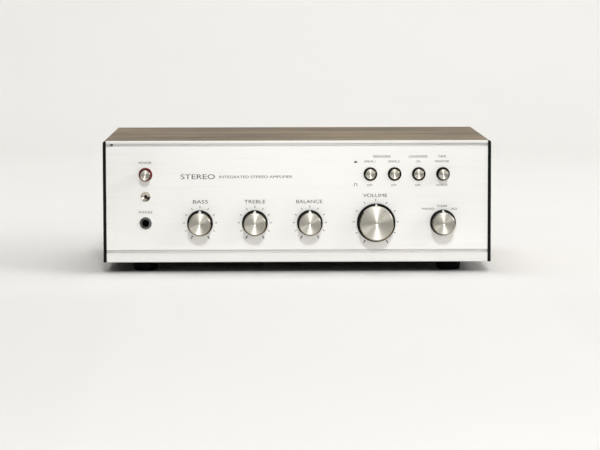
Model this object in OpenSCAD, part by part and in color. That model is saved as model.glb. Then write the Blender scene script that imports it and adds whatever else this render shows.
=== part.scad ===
// Integrated stereo amplifier in a wood-grain cabinet: a steel chassis and cover, an aluminium
// front with five rotary controls and five push switches, and its power supply, boards and sockets.
// Millimetres. +Z is up, the front faces -Y, and the origin is under the middle at the floor.

/* [Cabinet] */
// Width over the black edge trims
body_w = 340; // [338:1:352]
// Depth of the cabinet, from the front panel to the cover's rear edge
body_d = 222; // [220:1:240]
// Height of the cabinet, without its feet
body_h = 106.5; // [105:0.5:112]
// Gap between the cabinet and the floor
foot_h = 10; // [8:0.5:12]
// Thickness of the steel cover with its vinyl skin
cover_t = 1.2; // [1:0.1:1.4]
// Outside radius of the cover's two long folds
cover_r = 1.4; // [1.3:0.1:3]
// Width of each edge trim, seen from the front
trim_w = 2.6; // [2.4:0.1:3]
// How far the rear panel sits inside the cover
rear_recess = 8; // [6:0.5:10]

/* [Front panel] */
// Thickness of the brushed front panel
panel_t = 3; // [2:0.5:3]
// Height of the top rail's front lip
top_lip_h = 2.2; // [1.8:0.1:3]
// Height of the bottom rail's front lip
bottom_lip_h = 7.9; // [7:0.1:9]
// Height of the groove above the panel
top_groove_h = 2.4; // [2:0.1:3]
// Height of the groove below the panel
bottom_groove_h = 2.8; // [2.4:0.1:3.2]
// Height of the bright strip in each groove
inlay_h = 1.1; // [0.8:0.1:1.2]
// Height of the knob row above the floor
knob_row_z = 44.6; // [42:0.1:48]
// Height of the push-button row above the floor
button_row_z = 87.2; // [84:0.1:90]
// Height of the pilot lamp above the floor
lamp_z = 67.7; // [64:0.1:72]
// Distance of the left column of controls from the middle
left_column_x = 132.7; // [130:0.1:134]

/* [Knobs] */
// How far the knobs' faces stand out of the panel
knob_out = 18.6; // [17:0.2:22]
// Diameter of a small knob's black skirt
small_skirt_d = 22.6; // [20:0.1:24]
// Diameter of a small knob's aluminium cap
small_cap_d = 19.4; // [18:0.1:20]
// Diameter of the volume knob's black skirt
large_skirt_d = 33.8; // [30:0.1:36]
// Diameter of the volume knob's aluminium cap
large_cap_d = 29.6; // [26:0.1:30]
// Height of the skirt
skirt_h = 3.4; // [3:0.2:5]
// Diameter of the control shafts
shaft_d = 6; // [5.9:0.1:6]

/* [Push buttons] */
// Diameter of a button's head
button_d = 9.1; // [8.8:0.1:9.2]
// How far a released button of the row stands out of the panel
button_out = 9.5; // [8.5:0.5:10.5]
// How far the released power button stands out of the panel
power_out = 12; // [10:0.5:13]
// How far a button is pushed in when it latches
button_travel = 6; // [4:0.5:6]
// Distance between the buttons of the row
button_pitch = 21.2; // [20:0.1:22]
// Outside diameter of the collar round each button
bezel_d = 12; // [11.6:0.1:12.4]

/* [Sockets] */
// Bore of the headphone socket
phones_bore_d = 6.5; // [6.4:0.05:6.6]
// Outside diameter of a phono socket's barrel
phono_d = 8.2; // [8:0.05:8.3]
// Bore of a phono socket's centre contact
phono_bore_d = 3.3; // [3.2:0.05:3.4]
// Distance between the columns of phono sockets
phono_pitch = 18; // [16:0.5:18]
// Bore of the mains lead's gland
gland_bore_d = 7; // [6:0.5:8]

/* [Hidden] */
$fn = 64;
slack = 0.01;

// Front to back: the knobs' faces and the ground post's tip are equally far from the origin.
post_out = 16;
rear_out = post_out - rear_recess;
overall_d = knob_out + body_d + rear_out;
front_y = -overall_d / 2 + knob_out;
cover_back_y = front_y + body_d;
rear_y = cover_back_y - rear_recess;

// Cabinet
top_z = foot_h + body_h;
trim_front = 0.5;
trim_d = 10.5;
trim_skin = 0.4;
cover_w = body_w - 2 * trim_skin;
front_w = body_w - 2 * trim_w - 0.4;
cover_front_y = front_y + panel_t;

// Front panel and rails
panel_z0 = foot_h + bottom_lip_h + bottom_groove_h;
panel_z1 = top_z - top_lip_h - top_groove_h;
groove_d = 2.2;
inlay_t = 1.2;
inlay_gap_x = 4;
inlay_gap_w = 2;
rail_wall = 1.6;

// Chassis: a tray with a tall front wall, which carries the controls
sheet_t = 1.2;
subpanel = 6.8;
tray_z0 = foot_h + 1;
tray_z1 = tray_z0 + sheet_t;
tray_w = cover_w - 2 * cover_t - 0.4;
subpanel_w = tray_w - 4;
subpanel_top = top_z - 6;
flange_h = 15;
post_h = 8;
board_z = tray_z1 + post_h;
board_t = 1.6;

// Controls along the front
bass_x = -85.2;
treble_x = -37.1;
balance_x = 11.1;
volume_x = 69.2;
selector_x = 127.8;
button_x = [for (i = [0:3]) selector_x - (3 - i) * button_pitch];
knob_gap = 0.8;
hub_wall = 1.3;
cap_face = 1.4;
shaft_gap = 0.06;
bushing_d = 7;
can_d = 16.4;
can_h = 10;
volume_can_d = 24;
volume_can_h = 22;
head_back = 1.5;
rod_d = 4;
rod_end = 26;
rod_gap = 0.08;
switch_len = 34;
bezel_out = 2;
phones_len = 28;
phones_nut_h = 2;

// Rear
phono_x = [for (i = [0:4]) 70 + i * phono_pitch];
phono_z = [40, 58];
phono_out = 9.5;
terminal_x0 = -58;
terminal_pitch = 11.5;
terminal_n = 8;
terminal_z = 48;
din_at = [44, 78];
ground_at = [142, 82];
gland_at = [-145, 32];

// Inside
transformer_at = [-112, front_y + 130];
core = [76, 36, 64];
board_x = [-58, 116.5];
board_y = [front_y + 46, front_y + 190];
sink_x = 118;
sink_y = [front_y + 64, front_y + 184];
sink_z = [14, 74];
fin_n = 12;
tone_x = [-108, 34];
tone_z = [24, 66];
tone_board_y = 20;

// ---------------------------------------------------------------- helpers
// Children are drawn at a place on the front, with local z pointing out of the front.
module at_front(x, z) {
    translate([x, front_y, z]) rotate([90, 0, 0]) children();
}

// Children are drawn at a place on the rear panel, with local z pointing out of the back.
module at_back(x, z) {
    translate([x, rear_y, z]) rotate([-90, 0, 0]) children();
}

// A round part from one height to another.
module rod(d, z0, z1) {
    translate([0, 0, z0]) cylinder(d = d, h = z1 - z0);
}

// A tube from one height to another.
module tube(d, bore, z0, z1) {
    difference() {
        rod(d, z0, z1);
        rod(bore, z0 - 1, z1 + 1);
    }
}

// A box between two corners.
module block(from, to) {
    translate(from) cube(to - from);
}

// An upright outline with its two top corners rounded, standing on the x axis.
module arch(w, h, r) {
    translate([-w / 2, 0]) square([w, h - r]);
    translate([-w / 2 + r, 0]) square([w - 2 * r, h]);
    for (side = [-1, 1]) translate([side * (w / 2 - r), h - r]) circle(r);
}

// An outline in the XZ plane, drawn from one y to another.
module along_y(y0, y1) {
    translate([0, y1, 0]) rotate([90, 0, 0]) linear_extrude(y1 - y0) children();
}

// An outline in the YZ plane, drawn across the middle of the cabinet.
module across(w) {
    translate([-w / 2, 0, 0]) rotate([90, 0, 90]) linear_extrude(w) children();
}

// A row of slots through a plate that lies flat.
module floor_slots(x0, y0, n, pitch, w, l) {
    for (i = [0:n - 1]) block([x0 + i * pitch, y0, tray_z0 - 1], [x0 + i * pitch + w, y0 + l, tray_z1 + 1]);
}

function unit(v) = v / norm(v);
function catmull(a, b, c, d, t) =
    0.5 * (2 * b + (c - a) * t + (2 * a - 5 * b + 4 * c - d) * t * t + (3 * b - a - 3 * c + d) * t * t * t);
function smooth(p, n) = [
    for (i = [0:len(p) - 2], k = [0:n - 1])
        catmull(p[max(i - 1, 0)], p[i], p[i + 1], p[min(i + 2, len(p) - 1)], k / n),
    p[len(p) - 1],
];
function hoop(at, heading, r, n) =
    let (s = unit(cross(heading, [0.31, 0.17, 1])), u = cross(s, heading))
    [for (k = [0:n - 1]) at + r * (cos(360 * k / n) * s + sin(360 * k / n) * u)];

// A wire of one thickness along a smooth route. Its ends are square to the route's end stretches.
module wire(route, d, n = 8) {
    p = smooth(route, 4);
    m = len(p);
    last = len(route) - 1;
    heading = [
        unit(route[1] - route[0]),
        for (i = [1:m - 2]) unit(p[i + 1] - p[i - 1]),
        unit(route[last] - route[last - 1]),
    ];
    points = [for (i = [0:m - 1]) each hoop(p[i], heading[i], d / 2, n)];
    sides = [
        for (i = [0:m - 2], k = [0:n - 1])
            [i * n + k, i * n + (k + 1) % n, (i + 1) * n + (k + 1) % n, (i + 1) * n + k],
    ];
    ends = [[for (k = [n - 1:-1:0]) k], [for (k = [0:n - 1]) (m - 1) * n + k]];
    polyhedron(points, concat(sides, ends), convexity = 6);
}

// ---------------------------------------------------------------- cabinet
cover_screw_y = [front_y + 40, front_y + 175];
cover_screw_z = tray_z0 + 8;

module cover() {
    color("#7d6b58") difference() {
        translate([0, 0, foot_h]) along_y(cover_front_y, cover_back_y) difference() {
            arch(cover_w, body_h, cover_r);
            translate([0, -1]) arch(cover_w - 2 * cover_t, body_h - cover_t + 1, cover_r - cover_t);
        }
        for (y = cover_screw_y) translate([0, y, cover_screw_z]) rotate([0, 90, 0])
            cylinder(d = 4.4, h = body_w, center = true);
    }
}

// A plastic channel that grips the front edge of each of the cover's sides.
module edge_trim() {
    intersection() {
        difference() {
            block([body_w / 2 - trim_w, front_y - trim_front, foot_h],
                  [body_w / 2, front_y + trim_d, top_z]);
            block([cover_w / 2 - cover_t, cover_front_y, foot_h - 1],
                  [cover_w / 2, front_y + trim_d + 1, top_z + 1]);
        }
        translate([0, 0, foot_h]) along_y(front_y - 1, front_y + trim_d + 1)
            arch(body_w, body_h, cover_r + trim_skin);
        union() {
            block([0, front_y - 1, 0], [body_w, cover_front_y, top_z]);
            block([0, front_y - 1, 0], [body_w, front_y + trim_d + 1, top_z - cover_r - trim_skin]);
        }
    }
}

module edge_trims() {
    color("#141414") for (side = [0, 1]) mirror([side, 0, 0]) edge_trim();
}

// ---------------------------------------------------------------- front
module panel_holes(bore) {
    for (x = concat([-left_column_x], button_x)) at_front(x, button_row_z) rod(bore[0], -20, 5);
    for (x = [bass_x, treble_x, balance_x, volume_x, selector_x])
        at_front(x, knob_row_z) rod(bore[1], -20, 5);
    at_front(-left_column_x, lamp_z) rod(bore[2], -20, 5);
    at_front(-left_column_x, knob_row_z) rod(bore[3], -20, 5);
}

bezel_neck_d = 10.6;
lamp_neck_d = 7.2;
phones_neck_d = 9;

module front_panel() {
    edge = 0.35;
    color("#d9dad7") difference() {
        across(front_w) polygon([
            [front_y + edge, panel_z0], [front_y + panel_t, panel_z0], [front_y + panel_t, panel_z1],
            [front_y + edge, panel_z1], [front_y, panel_z1 - edge], [front_y, panel_z0 + edge],
        ]);
        panel_holes([bezel_neck_d + 0.1, 10, lamp_neck_d + 0.1, phones_neck_d + 0.2]);
    }
}

module top_rail() {
    edge = 0.4;
    groove_y = front_y + groove_d;
    lip_z = top_z - top_lip_h;
    color("#d3d4d2") across(front_w) polygon([
        [front_y, lip_z], [front_y, top_z - edge], [front_y + edge, top_z],
        [cover_front_y - 0.05, top_z], [cover_front_y - 0.05, top_z - cover_t - 0.1],
        [front_y + subpanel - 0.3, top_z - cover_t - 0.1], [front_y + subpanel - 0.3, lip_z - 0.4],
        [cover_front_y + rail_wall, lip_z - 0.4], [cover_front_y + rail_wall, panel_z1 - 6],
        [cover_front_y, panel_z1 - 6], [cover_front_y, panel_z1 + 0.05],
        [groove_y, panel_z1 + 0.05], [groove_y, lip_z],
    ]);
}

module bottom_rail() {
    edge = 0.5;
    groove_y = front_y + groove_d;
    lip_z = foot_h + bottom_lip_h;
    color("#d3d4d2") across(front_w) polygon([
        [front_y, foot_h + edge], [front_y, lip_z], [groove_y, lip_z], [groove_y, panel_z0 - 0.05],
        [cover_front_y, panel_z0 - 0.05], [cover_front_y, panel_z0 + 6],
        [cover_front_y + rail_wall, panel_z0 + 6], [cover_front_y + rail_wall, lip_z - rail_wall],
        [front_y + rail_wall, lip_z - rail_wall], [front_y + rail_wall, foot_h + rail_wall],
        [front_y + subpanel - 0.3, foot_h + rail_wall], [front_y + subpanel - 0.3, foot_h],
        [front_y + edge, foot_h],
    ]);
}

// The bright strips in the grooves. The upper one has a short end piece and then a gap.
module groove_inlays() {
    y0 = front_y + groove_d - inlay_t;
    y1 = front_y + groove_d;
    upper = panel_z1 + top_groove_h / 2;
    lower = panel_z0 - bottom_groove_h / 2;
    left = -front_w / 2;
    color("#c9cac9") {
        block([left, y0, upper - inlay_h / 2], [left + inlay_gap_x, y1, upper + inlay_h / 2]);
        block([left + inlay_gap_x + inlay_gap_w, y0, upper - inlay_h / 2],
              [front_w / 2, y1, upper + inlay_h / 2]);
        block([left, y0, lower - inlay_h / 2], [front_w / 2, y1, lower + inlay_h / 2]);
    }
}

// ---------------------------------------------------------------- chassis, rear panel, feet, screws
foot_x = 135;
foot_y = [front_y + 34, front_y + 194];
foot_screw_z = 6.5;
rear_screw_x = 158;
tab_w = 11;
rear_screw_z = 22;
board_posts = [for (x = [board_x[0] + 6, board_x[1] - 8], y = [board_y[0] + 6, board_y[1] - 6]) [x, y]];

module chassis() {
    color("#26272a") difference() {
        union() {
            block([-tray_w / 2, front_y + trim_d + 1, tray_z0], [tray_w / 2, rear_y - sheet_t, tray_z1]);
            block([-subpanel_w / 2, front_y + subpanel, tray_z0],
                  [subpanel_w / 2, front_y + trim_d + 1 + slack, tray_z1]);
            block([-subpanel_w / 2, front_y + subpanel, tray_z0],
                  [subpanel_w / 2, front_y + subpanel + sheet_t, subpanel_top]);
            for (side = [0, 1]) mirror([side, 0, 0])
                block([tray_w / 2 - sheet_t, front_y + trim_d + 1, tray_z0],
                      [tray_w / 2, rear_y - sheet_t, tray_z0 + flange_h]);
            for (p = board_posts) translate([p[0], p[1], 0]) rod(7, tray_z0 + slack, board_z);
            for (x = [-rear_screw_x, rear_screw_x])
                block([x - tab_w / 2, rear_y - 9, tray_z0],
                      [x + tab_w / 2, rear_y - sheet_t, tray_z1 + 18]);
        }
        for (x = [-rear_screw_x, rear_screw_x])
            block([x - tab_w / 2 + sheet_t, rear_y - 12, tray_z1],
                  [x + tab_w / 2 - sheet_t, rear_y - 2 * sheet_t, tray_z1 + 17]);
        for (x = concat([-left_column_x], button_x)) at_front(x, button_row_z) rod(6, -20, 5);
        for (x = [bass_x, treble_x, balance_x, volume_x, selector_x])
            at_front(x, knob_row_z) rod(bushing_d + 0.1, -20, 5);
        at_front(-left_column_x, lamp_z) rod(9, -20, 5);
        at_front(-left_column_x, knob_row_z) block([-9, -10, -20], [9, 12, 5]);
        for (x = [-foot_x, foot_x], y = foot_y) translate([x, y, 0]) rod(4.1, 0, 30);
        for (p = board_posts) translate([p[0], p[1], 0]) rod(3, tray_z0 - 1, board_z + 1);
        for (y = cover_screw_y) translate([0, y, cover_screw_z]) rotate([0, 90, 0])
            cylinder(d = 4.1, h = body_w, center = true);
        for (x = [-rear_screw_x, rear_screw_x]) at_back(x, rear_screw_z) rod(4.1, -20, 5);
        floor_slots(-150, front_y + 52, 8, 8, 3, 36);
        floor_slots(124, front_y + 68, 5, 7, 3, 50);
        floor_slots(124, front_y + 130, 5, 7, 3, 46);
        floor_slots(-44, front_y + 64, 18, 8, 3, 40);
        floor_slots(-44, front_y + 118, 18, 8, 3, 40);
    }
}

module rear_panel() {
    x1 = tray_w / 2 - 0.6;
    color("#1d1d1e") difference() {
        block([-x1, rear_y - sheet_t, tray_z0 + 0.2], [x1, rear_y, top_z - cover_t - 1]);
        for (x = phono_x, z = phono_z) at_back(x, z) rod(phono_d + 1.1, -9, 2);
        at_back(din_at[0], din_at[1]) rod(16.2, -9, 2);
        at_back(ground_at[0], ground_at[1]) rod(4.1, -9, 2);
        at_back(gland_at[0], gland_at[1]) rod(12.1, -9, 2);
        block([terminal_x0 + 3, rear_y - 9, terminal_z - 4],
              [terminal_x0 + terminal_n * terminal_pitch + 3, rear_y + 2, terminal_z + 4]);
        for (x = [-rear_screw_x, rear_screw_x]) at_back(x, rear_screw_z) rod(4.4, -9, 2);
        for (i = [0:21]) block([-136 + i * 12, rear_y - 9, 94], [-133 + i * 12, rear_y + 2, 108]);
    }
}

module foot() {
    difference() {
        rotate_extrude() polygon([
            [0, 0], [9.4, 0], [10.2, 0.5], [11, tray_z0 - 1], [11, tray_z0], [0, tray_z0],
        ]);
        rod(9, -1, foot_screw_z);
        rod(4.4, 0, tray_z0 + 1);
    }
}

module rubber_feet() {
    color("#161616") for (x = [-foot_x, foot_x], y = foot_y) translate([x, y, 0]) foot();
}

// A pan-head M4 screw whose head's seat is at z = 0 and whose shank points down -z.
module screw(l = 8) {
    difference() {
        union() {
            rotate_extrude() polygon([[0, 0], [3.75, 0], [3.6, 1.1], [2.6, 2.1], [1.2, 2.4], [0, 2.4]]);
            rod(4, -l, slack);
        }
        for (a = [0, 90]) rotate([0, 0, a]) block([-2.1, -0.4, 1.2], [2.1, 0.4, 3]);
    }
}

module machine_screws() {
    color("#8e8f90") {
        for (side = [0, 1], y = cover_screw_y) mirror([side, 0, 0])
            translate([cover_w / 2, y, cover_screw_z]) rotate([0, 90, 0]) screw(7);
        for (x = [-foot_x, foot_x], y = foot_y) translate([x, y, foot_screw_z]) rotate([180, 0, 0]) screw(9);
        for (x = [-rear_screw_x, rear_screw_x]) at_back(x, rear_screw_z) screw(7);
    }
}

// ---------------------------------------------------------------- knobs, shafts and their controls
// Black phenolic knob: the skirt and the hub that the cap is pressed onto.
module knob(skirt_d, cap_d) {
    hub_d = cap_d - 2 * hub_wall;
    seat = knob_gap + skirt_h;
    color("#131313") difference() {
        union() {
            rotate_extrude() polygon([
                [0, knob_gap], [skirt_d / 2 - 0.3, knob_gap], [skirt_d / 2, knob_gap + 0.3],
                [skirt_d / 2, seat - 0.5], [skirt_d / 2 - 0.5, seat], [0, seat],
            ]);
            rod(hub_d, seat - slack, knob_out - cap_face);
        }
        rod(shaft_d, knob_gap - 1, knob_out - 7);
        rod(hub_d - 5, knob_gap - 1, knob_gap + 2);
    }
}

// Turned aluminium cap with a chamfered rim, a shallow dished face and a pointer rib.
module knob_cap(skirt_d, cap_d) {
    r = cap_d / 2;
    hub_r = r - hub_wall;
    seat = knob_gap + skirt_h;
    rib = 1.3;
    color("#cfc9bb") {
        rotate_extrude() polygon([
            [hub_r, seat], [r, seat], [r, knob_out - 0.5], [r - 0.5, knob_out],
            [r - 1.3, knob_out], [0, knob_out - 0.35], [0, knob_out - cap_face],
            [hub_r, knob_out - cap_face],
        ]);
        difference() {
            union() {
                block([-rib / 2, r - 0.4, seat], [rib / 2, r + 0.35, knob_out - 0.5]);
                block([-rib / 2, r - 0.4, seat], [rib / 2, skirt_d / 2 - 0.7, seat + 0.45]);
            }
            rod(2 * hub_r, seat - 1, knob_out + 1);
        }
    }
}

module bass_knob() { at_front(bass_x, knob_row_z) knob(small_skirt_d, small_cap_d); }
module treble_knob() { at_front(treble_x, knob_row_z) knob(small_skirt_d, small_cap_d); }
module balance_knob() { at_front(balance_x, knob_row_z) knob(small_skirt_d, small_cap_d); }
module volume_knob() { at_front(volume_x, knob_row_z) knob(large_skirt_d, large_cap_d); }
module selector_knob() { at_front(selector_x, knob_row_z) knob(small_skirt_d, small_cap_d); }
module bass_knob_cap() { at_front(bass_x, knob_row_z) knob_cap(small_skirt_d, small_cap_d); }
module treble_knob_cap() { at_front(treble_x, knob_row_z) knob_cap(small_skirt_d, small_cap_d); }
module balance_knob_cap() { at_front(balance_x, knob_row_z) knob_cap(small_skirt_d, small_cap_d); }
module volume_knob_cap() { at_front(volume_x, knob_row_z) knob_cap(large_skirt_d, large_cap_d); }
module selector_knob_cap() { at_front(selector_x, knob_row_z) knob_cap(small_skirt_d, small_cap_d); }

// A split control shaft with a wiper disc for each gang.
module shaft(end, discs, disc_d) {
    color("#b9b7ae") difference() {
        union() {
            rod(shaft_d, -end, knob_out - 7);
            for (z = discs) rod(disc_d, -z - 1.2, -z);
        }
        block([-0.5, -4, knob_out - 14], [0.5, 4, knob_out]);
    }
}

pot_z = subpanel + sheet_t;
wiper_z = pot_z + 5;

module bass_shaft() { at_front(bass_x, knob_row_z) shaft(pot_z + 8, [wiper_z], 12); }
module treble_shaft() { at_front(treble_x, knob_row_z) shaft(pot_z + 8, [wiper_z], 12); }
module balance_shaft() { at_front(balance_x, knob_row_z) shaft(pot_z + 8, [wiper_z], 12); }
module volume_shaft() { at_front(volume_x, knob_row_z) shaft(pot_z + 20, [wiper_z, wiper_z + 11], 19); }
module selector_shaft() { at_front(selector_x, knob_row_z) shaft(pot_z + 27, [pot_z + 10, pot_z + 22], 9); }

// A carbon-track potentiometer: threaded bushing, front plate, hollow can and soldering lugs.
module pot(d, h, gangs) {
    bore = shaft_d + 2 * shaft_gap;
    difference() {
        union() {
            rod(bushing_d, -pot_z - slack, -3.6);
            rod(d, -pot_z - h, -pot_z);
            block([-d / 2 - 0.6, -d / 2 - 0.6, -pot_z - 1], [d / 2 + 0.6, d / 2 + 0.6, -pot_z]);
        }
        rod(bore, -pot_z - 2, 0);
        for (g = [0:gangs - 1]) {
            gang_h = (h - 1) / gangs;
            rod(d - 2.4, -pot_z - (g + 1) * gang_h, -pot_z - g * gang_h - 1);
            rod(bore, -pot_z - g * gang_h - 2, -pot_z - g * gang_h);
        }
    }
    for (g = [0:gangs - 1], x = [-5, 0, 5])
        block([x - 1, -d / 2 - 3, -pot_z - 5 - g * 11], [x + 1, -d / 2 + 3, -pot_z - 4.2 - g * 11]);
}

module tone_pots() {
    color("#9a9c98") for (x = [bass_x, treble_x, balance_x])
        at_front(x, knob_row_z) difference() {
            pot(can_d, can_h, 1);
            rod(can_d - 2.4, -pot_z - can_h + 1, -pot_z - 1);
        }
}

module volume_pot() {
    color("#9a9c98") at_front(volume_x, knob_row_z) difference() {
        pot(volume_can_d, volume_can_h, 2);
        for (g = [0, 1]) rod(volume_can_d - 2.4, -pot_z - (g + 1) * 10.5, -pot_z - g * 10.5 - 1);
    }
}

// Rotary switch: detent plate, two phenolic wafers with contacts, and two tie rods.
module selector_switch() {
    color("#8a6a42") at_front(selector_x, knob_row_z) {
        tube(bushing_d, shaft_d + 2 * shaft_gap, -pot_z - slack, -3.6);
        difference() {
            union() {
                block([-15, -12, -pot_z - 1.2], [15, 12, -pot_z]);
                for (z = [10, 22]) rod(29, -pot_z - z - 1.6, -pot_z - z + 0.4);
                for (x = [-12, 12]) translate([x, 0, 0]) rod(4, -pot_z - 27, -pot_z - slack);
            }
            rod(shaft_d + 2 * shaft_gap, -pot_z - 3, 0);
            rod(9.4, -pot_z - 30, -pot_z - 3);
        }
        for (z = [10, 22], a = [30:30:330]) if (a != 180) rotate([0, 0, a])
            block([-0.9, 11, -pot_z - z - 2.2], [0.9, 17, -pot_z - z - 1.6]);
    }
}

module control_nuts() {
    color("#c4bfae") for (x = [bass_x, treble_x, balance_x, volume_x, selector_x])
        at_front(x, knob_row_z) {
            tube(12, bushing_d + 0.1, -subpanel, -subpanel + 0.6);
            difference() {
                translate([0, 0, -subpanel + 0.6]) cylinder(d = 11, h = 2, $fn = 6);
                rod(bushing_d + 0.1, -subpanel - 1, 0);
            }
        }
}

// ---------------------------------------------------------------- push buttons and switches
// A button's turned head and its push rod. "out" is how far it stands out when it is released,
// and "pushed" is how far it is in.
module button(out, pushed) {
    front = out - pushed;
    back = head_back - pushed;
    r = button_d / 2;
    color("#cfc9bb") difference() {
        union() {
            rotate_extrude() polygon([
                [0, back], [r, back], [r, front - 0.4], [r - 0.4, front], [r - 0.9, front],
                [0, front - 0.2],
            ]);
            rod(rod_d, -rod_end - pushed, back + slack);
        }
        rotate_extrude() translate([r + 0.25, front - 2.6]) circle(0.45, $fn = 24);
    }
}

module power_button() { at_front(-left_column_x, button_row_z) button(power_out, 0); }
module speaker_1_button() { at_front(button_x[0], button_row_z) button(button_out, button_travel); }
module speaker_2_button() { at_front(button_x[1], button_row_z) button(button_out, button_travel); }
module loudness_button() { at_front(button_x[2], button_row_z) button(button_out, button_travel); }
module tape_button() { at_front(button_x[3], button_row_z) button(button_out, 0); }

// A plastic collar, pressed into the panel, that guides the button.
module bezel() {
    r = bezel_d / 2;
    bore = button_d / 2 + 0.2;
    rotate_extrude() polygon([
        [bore, -panel_t], [bezel_neck_d / 2, -panel_t], [bezel_neck_d / 2, 0], [r, 0],
        [r, bezel_out - 0.9], [r - 0.3, bezel_out - 0.3], [r - 0.7, bezel_out],
        [bore + 0.25, bezel_out - 0.1], [bore, bezel_out - 0.4],
    ]);
}

module power_bezel() { color("#8e1822") at_front(-left_column_x, button_row_z) bezel(); }
module button_bezels() { color("#111111") for (x = button_x) at_front(x, button_row_z) bezel(); }

// A latching switch body behind the front wall, with a guide bore for the push rod and solder pins.
module switch_body(w, h) {
    difference() {
        block([-w / 2, -h / 2, -pot_z - switch_len], [w / 2, h / 2, -pot_z - 1]);
        rod(rod_d + 2 * rod_gap, -pot_z - switch_len + 2, 0);
    }
    for (i = [0:5], x = [-w / 2 + 2, w / 2 - 2])
        block([x - 0.4, -h / 2 - 4, -pot_z - 6 - i * 4.6], [x + 0.4, -h / 2 + slack, -pot_z - 5 - i * 4.6]);
}

module power_switch() {
    color("#26221e") at_front(-left_column_x, button_row_z) {
        switch_body(15, 18);
        difference() {
            block([-16, -9, -pot_z - 1], [16, 9, -pot_z]);
            rod(6, -20, 0);
        }
    }
}

module switch_bank() {
    color("#2a2b2d") {
        for (x = button_x) at_front(x, button_row_z) switch_body(11, 13);
        at_front((button_x[0] + button_x[3]) / 2, button_row_z) difference() {
            block([-42, -8, -pot_z - 1], [42, 8, -pot_z]);
            for (x = button_x) translate([x - (button_x[0] + button_x[3]) / 2, 0, 0]) rod(6, -20, 0);
        }
    }
}

// ---------------------------------------------------------------- pilot lamp and headphone socket
module lamp_bezel() {
    color("#c9c9c9") at_front(-left_column_x, lamp_z) rotate_extrude() polygon([
        [1.6, -5], [lamp_neck_d / 2, -5], [lamp_neck_d / 2, 0], [4.3, 0], [4.3, 0.6], [4.0, 1],
        [3.8, 1], [1.6, -0.4],
    ]);
}

module lamp_lens() {
    color("#3a0c0c") at_front(-left_column_x, lamp_z) {
        rod(3.1, -9, -1.6);
        translate([0, 0, -1.6]) intersection() {
            sphere(d = 3.1);
            rod(4, -slack, 3);
        }
        for (x = [-0.8, 0.8]) translate([x, 0, 0]) rod(0.5, -20, -9 + slack);
    }
}

module phones_jack() {
    color("#181818") at_front(-left_column_x, knob_row_z) {
        difference() {
            union() {
                block([-7.5, -8, -panel_t - phones_len], [7.5, 10, -panel_t]);
                rod(phones_neck_d, -panel_t - slack, phones_nut_h + 0.3);
            }
            rod(phones_bore_d, -panel_t - phones_len + 2, phones_nut_h + 1);
        }
        for (z = [10, 18, 26], y = [-9.5, 10])
            block([-1.2, y, -panel_t - z - 0.6], [1.2, y + 1.5, -panel_t - z + 0.6]);
    }
}

module phones_nut() {
    color("#cfd0d0") at_front(-left_column_x, knob_row_z) difference() {
        rotate_extrude() polygon([
            [phones_neck_d / 2 + 0.05, 0], [5.5, 0], [5.5, phones_nut_h - 0.5], [5.1, phones_nut_h],
            [phones_neck_d / 2 + 0.4, phones_nut_h], [phones_neck_d / 2 + 0.05, phones_nut_h - 0.35],
        ]);
        for (a = [0, 90]) rotate([0, 0, a])
            block([-6, -0.5, phones_nut_h - 0.7], [6, 0.5, phones_nut_h + 1]);
    }
}

// ---------------------------------------------------------------- rear sockets
module phono_sockets() {
    color("#c9cacb") for (x = phono_x, z = phono_z) at_back(x, z) rotate_extrude() polygon([
        [3.3, 0], [5.6, 0], [5.6, 1.2], [phono_d / 2, 1.2], [phono_d / 2, phono_out - 0.3],
        [phono_d / 2 - 0.3, phono_out], [3.3, phono_out],
    ]);
}

// One moulding behind the rear panel, with an insulator in each socket.
module phono_block() {
    x0 = phono_x[0] - 10;
    x1 = phono_x[4] + 10;
    color("#e9e6de") difference() {
        union() {
            block([x0, rear_y - sheet_t - 7, phono_z[0] - 10], [x1, rear_y - sheet_t, phono_z[1] + 10]);
            for (x = phono_x, z = phono_z) at_back(x, z) {
                rod(phono_d + 0.9, -sheet_t - slack, 0);
                rod(6.5, -slack, phono_out - 1.5);
            }
        }
        for (x = phono_x, z = phono_z) at_back(x, z) rod(phono_bore_d, -6.2, phono_out);
    }
}

module din_socket() {
    color("#b9babb") at_back(din_at[0], din_at[1]) {
        tube(16, 14.4, -10, 1.2);
        difference() {
            union() {
                block([-11, -9, -sheet_t - 1], [11, 9, -sheet_t]);
                rod(16, -sheet_t - 1, -sheet_t + slack);
            }
            rod(15.2, -9, 2);
        }
        difference() {
            rod(14.4, -10, -2);
            for (a = [-90:45:90]) rotate([0, 0, a]) translate([0, 5, 0]) rod(1.7, -9, 1);
        }
    }
}

module speaker_terminals() {
    l = terminal_n * terminal_pitch;
    color("#1a1512") difference() {
        union() {
            block([terminal_x0, rear_y, terminal_z - 10],
                  [terminal_x0 + l + 6, rear_y + 4, terminal_z + 10]);
            block([terminal_x0 + 4, rear_y - 6, terminal_z - 3.5],
                  [terminal_x0 + l + 2, rear_y + slack, terminal_z + 3.5]);
            for (i = [0:terminal_n]) translate([terminal_x0 + 2 + i * terminal_pitch, rear_y, terminal_z])
                block([0, 0, -10], [2, 10, 10]);
        }
        for (i = [0:terminal_n - 1])
            at_back(terminal_x0 + 3 + (i + 0.5) * terminal_pitch, terminal_z) rod(3.1, -4, 12);
    }
}

// Slotted terminal screws, each with a square clamping plate.
module terminal_screws() {
    color("#cdb98a") for (i = [0:terminal_n - 1])
        at_back(terminal_x0 + 3 + (i + 0.5) * terminal_pitch, terminal_z) difference() {
            union() {
                block([-4.3, -4.5, 4.05], [4.3, 4.5, 5]);
                rod(6.6, 5 - slack, 7.4);
                rod(3, -3, 5);
            }
            block([-4, -0.5, 6.4], [4, 0.5, 8]);
        }
}

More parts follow.
